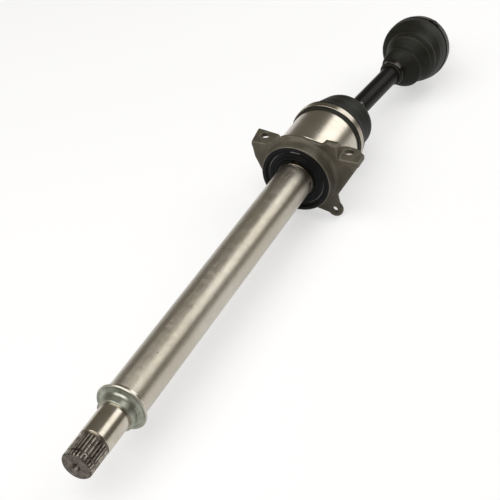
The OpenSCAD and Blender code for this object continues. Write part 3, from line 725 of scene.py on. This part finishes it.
class AxleBracketSettings(bpy.types.PropertyGroup):
    grain: FloatProperty(name="Skin step", description="Spacing of the casting's skin",
                         default=0.0008, min=0.0005, max=0.003, unit="LENGTH")
    ease: IntProperty(name="Easing", description="How many times the casting's corners are eased",
                      default=18, min=0, max=40)


def colour(name, description, value):
    return FloatVectorProperty(name=name, description=description, subtype="COLOR", size=3,
                               default=value, min=0.0, max=1.0)


class AxleColours(bpy.types.PropertyGroup):
    steel_bright: colour("Bright steel", "Clean ground steel", (0.60, 0.56, 0.485))
    steel_warm: colour("Warm steel", "Ground steel under an oil film", (0.52, 0.475, 0.39))
    steel_stain: colour("Steel stain", "The darker lines and stains in the steel", (0.22, 0.18, 0.15))
    oxide_dark: colour("Dark oxide", "Hardened, oxidised steel", (0.075, 0.062, 0.052))
    oxide_light: colour("Light oxide", "Oxidised steel where it is rubbed", (0.19, 0.165, 0.14))
    plating: colour("Plating", "The deflector's plating", (0.36, 0.37, 0.31))
    plating_dark: colour("Dull plating", "The plating where it has dulled", (0.21, 0.215, 0.175))
    cast: colour("Casting", "The bracket's casting skin", (0.085, 0.075, 0.052))
    cast_light: colour("Light casting", "The casting's lighter patches", (0.14, 0.124, 0.09))
    # Also the colour of the painted shade low on the bracket
    cast_pits_and_shade: colour("Dark casting", "The casting's pits", (0.032, 0.029, 0.021))
    cast_worn: colour("Worn casting", "The casting's rubbed edges", (0.27, 0.25, 0.2))
    paint: colour("Bar paint", "The bar's black paint", (0.006, 0.0055, 0.005))
    paint_dust: colour("Bar dust", "Dust on the bar", (0.013, 0.012, 0.011))
    boot: colour("Boot rubber", "The boots' rubber", (0.0085, 0.0085, 0.006))
    # Also the painted highlight on the boots' fold crests
    boot_bloom_and_highlight: colour("Boot bloom", "The haze on the rubber", (0.026, 0.026, 0.02))
    seal: colour("Seal rubber", "The bearing seals' rubber", (0.005, 0.005, 0.0055))
    band: colour("Band", "The clamps' band", (0.46, 0.43, 0.37))
    band_warm: colour("Warm band", "The band where it is golden", (0.3, 0.25, 0.17))
    band_dark: colour("Dark band", "The outer joint's small clamp", (0.1, 0.098, 0.092))
    bearing: colour("Bearing steel", "Polished bearing steel", (0.62, 0.62, 0.61))
    race_edge: colour("Race edge", "The outer ring's dull edge", (0.36, 0.355, 0.33))
    brass: colour("Cage", "The ball cages' metal", (0.55, 0.42, 0.2))
    grease: colour("Grease", "Grease on the inner parts", (0.11, 0.09, 0.06))


class AxleStageSettings(bpy.types.PropertyGroup):
    floor: colour("Floor", "The floor and background", (0.94, 0.94, 0.94))
    key_power: FloatProperty(name="Key light", description="Power of the soft light behind the far joint",
                             default=11.5, min=0.0, unit="POWER")
    key_size: FloatProperty(name="Key size", description="Width of the soft light behind the far joint",
                            default=0.95, min=0.1, unit="LENGTH")
    top_power: FloatProperty(name="Top light", description="Power of the large soft light overhead",
                             default=58.0, min=0.0, unit="POWER")
    sky: FloatProperty(name="Sky", description="Strength of the light from all round",
                       default=0.17, min=0.0, max=2.0)
    white: FloatProperty(name="White share", description="How much of the floor shows as plain white",
                         default=0.55, min=0.0, max=1.0)


# ---- operators ----
def paint_nodes(material, *names):
    for name in names:
        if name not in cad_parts:
            raise RuntimeError(f"there is no node named {name}")
        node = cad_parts[name]
        node.data.materials.clear()
        node.data.materials.append(material)
        for slot in node.material_slots:
            slot.link = "DATA"


class AXLE_OT_shafts(bpy.types.Operator):
    """Finishes the splined end, the tube, the joint housings and the bar"""

    bl_idname = "axle.shafts"
    bl_label = "Shafts and Housings"

    def execute(self, context):
        c = context.scene.axle_colours
        paint_nodes(stub_finish(c), "splined_stub")
        paint_nodes(tube_finish(c), "shaft_tube")
        paint_nodes(housing_finish(c), "joint_housing")
        paint_nodes(bar_paint("bar_paint", c, BAR_FRAME), "bar_shaft")
        paint_nodes(bell_steel(c), "outer_housing")
        paint_nodes(hard_steel("clip_steel", c, c.oxide_light),
                    "stub_circlip", "spider_circlip", "race_circlip")
        paint_nodes(hard_steel("black_clip_steel", c, c.seal, 0.0, 0.9),
                    "shaft_snap_ring", "bearing_circlip", "bearing_inner_ring")
        paint_nodes(hard_steel("bearing_edge_steel", c, c.race_edge, 0.0, 0.8), "bearing_outer_ring")
        paint_nodes(plated_sheet("deflector_plating", c), "oil_deflector")
        return {"FINISHED"}


class AXLE_OT_bearings(bpy.types.Operator):
    """Finishes the support bearing, its seals and the working parts of both joints"""

    bl_idname = "axle.bearings"
    bl_label = "Bearing and Joint Parts"

    def execute(self, context):
        c = context.scene.axle_colours
        kinds = ("outer_roller", "inner_roller", "needle_rollers")
        rollers = [f"{kind}_{k}" for kind in kinds for k in (1, 2, 3)]
        paint_nodes(hard_steel("bearing_race_steel", c, c.bearing),
                    "bearing_balls", "joint_balls", *rollers)
        paint_nodes(hard_steel("joint_part_steel", c, c.steel_warm),
                    "tripod_spider", "roller_retainers", "inner_race", "outer_cage")
        paint_nodes(hard_steel("ball_cage_metal", c, c.brass), "bearing_cage")
        paint_nodes(rubber("seal_rubber", c.seal, c.seal, None, 0.08, 0.12),
                    "bearing_seal_front", "bearing_seal_rear", "bearing_dust_ring")
        return {"FINISHED"}


class AXLE_OT_inner_boot(bpy.types.Operator):
    """Makes the inner joint's boot in three stretches"""

    bl_idname = "axle.inner_boot"
    bl_label = "Inner Boot"

    def execute(self, context):
        b, c = context.scene.axle_boots, context.scene.axle_colours
        k = b.inner_swell
        # Millimetres along the joint's axis, and out from it
        stations = [(14, 44.6), (31.2, 44.6), (32.2, 44.2), (34, 42), (40, 40), (46, 39 * k), (52, 38 * k),
                    (58, 37 * k), (64, 35.8), (70, 32.6), (73.5, 28.4), (76, 24), (77.5, 19.5), (78.5, 16.5),
                    (80, 14.7), (92, 14.7)]
        skin = rubber("inner_boot_rubber", c.boot, c.boot_bloom_and_highlight, INNER_FRAME)
        cuts, bend, sag = (14, 52, 68, 92), (BAR_BEND, 32.0, 72.0, 32.0, 72.0), (0.0, 0.0, 100.0)
        pieces = boot_sections("inner_boot_wall", stations, b.wall, cuts, INNER_FRAME,
                               bend, sag, skin, b.steps)
        bodies = ("shaft", "roller_1", "sleeve_1", "bar")
        spans = ((36.0, 52.0), (52.0, 68.0), (68.0, 77.0))
        for piece, pair, (low, high) in zip(pieces, zip(bodies, bodies[1:]), spans):
            start, end = (INNER_FRAME @ Vector((s * MM, 0, 0)) for s in (low, high))
            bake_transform(piece)
            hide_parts("inner_boot")
        return {"FINISHED"}


class AXLE_OT_outer_boot(bpy.types.Operator):
    """Makes the outer joint's boot in two stretches, bent to the joint's angle"""

    bl_idname = "axle.outer_boot"
    bl_label = "Outer Boot"

    def execute(self, context):
        b, c = context.scene.axle_boots, context.scene.axle_colours
        k = b.outer_swell
        # Millimetres along the joint's axis, and out from it
        stations = [(-73, 14.7), (-62, 14.7), (-60.5, 17.2), (-58, 21.4), (-54, 25.1), (-51.4, 26.5),
                    (-50.2, 26.8), (-49.3, 26.5), (-48.4, 25.7), (-46.5, 24.4), (-44.5, 24.8), (-40, 28.4),
                    (-34.5, 32.9), (-31.8, 34.2), (-30.7, 34.5), (-29.8, 34.2), (-28.9, 33.5), (-27.2, 32.4),
                    (-25.2, 33), (-22, 35.7), (-18, 38.9 * k), (-13, 40.7 * k), (-7, 41.6 * k), (0, 42.1),
                    (3, 41.7), (16, 41.7)]
        skin = rubber("outer_boot_rubber", c.boot, c.boot_bloom_and_highlight, OUTER_FRAME)
        cuts, bend, sag = (-73, -36, 16), (OUTER_BEND, -60.0, -18.0, -40.0, -14.0), (b.sag, -64.0, -13.0)
        pieces = boot_sections("outer_boot_wall", stations, b.wall, cuts, OUTER_FRAME,
                               bend, sag, skin, b.steps)
        bodies = ("bar", "joint_cage", "hub")
        half_frame = OUTER_FRAME @ turned(OUTER_BEND / 2, "Y")
        spans = ((-60.0, -36.0), (-36.0, -18.0))
        for piece, pair, (low, high) in zip(pieces, zip(bodies, bodies[1:]), spans):
            start, end = (half_frame @ Vector((s * MM, 0, 0)) for s in (low, high))
            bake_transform(piece)
            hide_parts("outer_boot")
        return {"FINISHED"}


class AXLE_OT_clamps(bpy.types.Operator):
    """Makes the four band clamps with their crimped ears"""

    bl_idname = "axle.clamps"
    bl_label = "Boot Clamps"

    def execute(self, context):
        s, c = context.scene.axle_clamps, context.scene.axle_colours
        plain_band = band_steel("clamp_band", c.band, c.band_warm, c.steel_stain)
        dark_band = band_steel("dark_clamp_band", c.band_dark, c.oxide_dark, c.paint)
        black_band = bar_paint("clamp_paint", c, HUB_FRAME)
        # The band's ends along its frame and its radii in millimetres, then the ear's angle and scale
        clamps = (
            ("inner_boot_clamp_large", INNER_FRAME, (18.0, 26.0), (44.62, 45.62), 55.0, 1.0),
            ("inner_boot_clamp_small", BAR_FRAME, (81.0, 89.0), (15.0, 16.0), -35.0, 0.75),
            ("outer_boot_clamp_large", HUB_FRAME, (5.0, 13.0), (41.72, 42.72), -2.0, 0.4),
            ("outer_boot_clamp_small", OUTER_FRAME, (-71.0, -63.0), (15.0, 16.0), 150.0, 0.75),
        )
        bodies = ("shaft", "bar", "hub", "bar")
        looks = ((plain_band, "band_steel"), (dark_band, "band_steel"),
                 (black_band, "black_paint"), (dark_band, "band_steel"))
        for clamp, body, (steel, slot) in zip(clamps, bodies, looks):
            node, at, (low, high), (inner, outer), turn, size = clamp
            section = rounded_band(low, high, inner, outer)
            band = turned_piece(node + "_ring", section, at, steel, 120, sharp=30)
            ear = crimp_ear(node + "_ear", at, outer - EAR_SINK, low + EAR_SIDE, high - EAR_SIDE,
                            turn, steel, s.ear_height * size, s.strip)
            whole = join_pieces(node + "_piece", [band, ear])
            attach(whole, body)
            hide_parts(node)
        return {"FINISHED"}


class AXLE_OT_bracket(bpy.types.Operator):
    """Gives the support bracket a casting's eased corners and skin"""

    bl_idname = "axle.bracket"
    bl_label = "Support Bracket"

    def execute(self, context):
        b, c = context.scene.axle_bracket, context.scene.axle_colours

        def crisp(p):
            r = math.hypot(p.y, p.z)
            return r < BEARING_SEAT_R[0] or (p.x < BOSS_FACE_X and r < BOSS_MOUTH_R)

        iron = cast_iron("bracket_cast_iron", c)
        piece = softened_copy("support_bracket", "bracket_casting", b.grain, b.ease, crisp, iron)
        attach(piece, "bracket")
        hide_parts("support_bracket")
        return {"FINISHED"}


class AXLE_OT_stage(bpy.types.Operator):
    """Sets the floor, the lights, the world and the camera"""

    bl_idname = "axle.stage"
    bl_label = "Stage"

    def execute(self, context):
        s = context.scene.axle_stage
        scene = context.scene
        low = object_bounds()[0]
        work = bmesh.new()
        bmesh.ops.create_grid(work, x_segments=2, y_segments=2, size=FLOOR_HALF)
        bmesh.ops.translate(work, verts=work.verts, vec=(FLOOR_MIDDLE_X, 0.0, low.z))
        mesh = bpy.data.meshes.new("floor")
        work.to_mesh(mesh)
        work.free()
        floor = new_object("floor", mesh, self.floor_finish(s))
        floor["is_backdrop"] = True
        for name, place, size, power in (
            ("key_light", KEY_PLACE, (KEY_LENGTH, s.key_size), s.key_power),
            ("top_light", TOP_PLACE, (TOP_SIDE, TOP_SIDE), s.top_power),
        ):
            lamp = bpy.data.lights.new(name, "AREA")
            lamp.shape, lamp.energy = "RECTANGLE", power
            lamp.size, lamp.size_y = size
            made = bpy.data.objects.new(name, lamp)
            scene.collection.objects.link(made)
            # The light's long side lies along the shaft
            away = (Vector(place) - LIGHTS_AIM).normalized()
            along = (Vector((1.0, 0.0, 0.0)) - away * away.x).normalized()
            turn = Matrix((along, away.cross(along), away)).transposed().to_4x4()
            made.matrix_world = Matrix.Translation(place) @ turn
        self.world(scene, s)
        lens = bpy.data.cameras.new("camera")
        lens.lens, lens.sensor_width = CAMERA_LENS, CAMERA_SENSOR
        lens.clip_start, lens.clip_end = 0.01, 50.0
        lens.dof.use_dof = False
        camera = bpy.data.objects.new("camera", lens)
        scene.collection.objects.link(camera)
        turn = Matrix((CAMERA_RIGHT, CAMERA_UP, CAMERA_BACK)).transposed().to_4x4()
        camera.matrix_world = Matrix.Translation(CAMERA_PLACE) @ turn
        scene.camera = camera
        scene.view_settings.view_transform = "Standard"
        return {"FINISHED"}

    @staticmethod
    def floor_finish(s):
        material = bpy.data.materials.new("floor_paper")
        material.use_nodes = True
        tree = material.node_tree
        tree.nodes.clear()
        t = Tree(tree.nodes, tree.links)
        paper = t.node("ShaderNodeBsdfDiffuse", None, {"Color": tuple(s.floor) + (1.0,)})
        white = t.node("ShaderNodeEmission", None, {"Color": (1.0, 1.0, 1.0, 1.0), "Strength": 1.0})
        seen = [t.node("ShaderNodeLightPath", output=f"Is {kind} Ray")
                for kind in ("Camera", "Glossy", "Transmission")]
        share = (seen[0] + seen[1] + seen[2]).math("MINIMUM", 1.0) * s.white
        mixed = t.node("ShaderNodeMixShader", None, {0: share, 1: paper, 2: white})
        out = tree.nodes.new("ShaderNodeOutputMaterial")
        tree.links.new(mixed.socket, out.inputs["Surface"])
        return material

    @staticmethod
    def world(scene, s):
        world = bpy.data.worlds.new("studio")
        scene.world = world
        world.use_nodes = True
        tree = world.node_tree
        tree.nodes.clear()
        t = Tree(tree.nodes, tree.links)
        sky = t.node("ShaderNodeBackground", None, {"Color": SKY_COLOUR, "Strength": s.sky})
        out = tree.nodes.new("ShaderNodeOutputWorld")
        tree.links.new(sky.socket, out.inputs["Surface"])


class AXLE_PT_panel(bpy.types.Panel):
    """Lists the steps that dress the axle, with their settings"""

    bl_idname = "AXLE_PT_panel"
    bl_label = "Drive Axle"
    bl_space_type = "VIEW_3D"
    bl_region_type = "UI"
    bl_category = "Axle"

    def draw(self, context):
        for step in STEPS:
            self.layout.operator(step.bl_idname)
        for group in ("axle_boots", "axle_clamps", "axle_bracket", "axle_stage", "axle_colours"):
            box = self.layout.box()
            held = getattr(context.scene, group)
            for key in held.bl_rna.properties.keys():
                if key not in ("rna_type", "name"):
                    box.prop(held, key)


STEPS = (AXLE_OT_shafts, AXLE_OT_bearings, AXLE_OT_inner_boot, AXLE_OT_outer_boot,
         AXLE_OT_clamps, AXLE_OT_bracket, AXLE_OT_stage)
GROUPS = {"axle_boots": AxleBootSettings, "axle_clamps": AxleClampSettings,
          "axle_bracket": AxleBracketSettings, "axle_colours": AxleColours, "axle_stage": AxleStageSettings}


def register():
    for group in GROUPS.values():
        bpy.utils.register_class(group)
    for key, group in GROUPS.items():
        setattr(bpy.types.Scene, key, PointerProperty(type=group))
    for step in STEPS + (AXLE_PT_panel,):
        bpy.utils.register_class(step)


def unregister():
    for step in reversed(STEPS + (AXLE_PT_panel,)):
        bpy.utils.unregister_class(step)
    for key, group in GROUPS.items():
        delattr(bpy.types.Scene, key)
        bpy.utils.unregister_class(group)


def main():
    register()
    for step in STEPS:
        group, name = step.bl_idname.split(".")
        getattr(getattr(bpy.ops, group), name)()


if __name__ == "__main__":
    main()
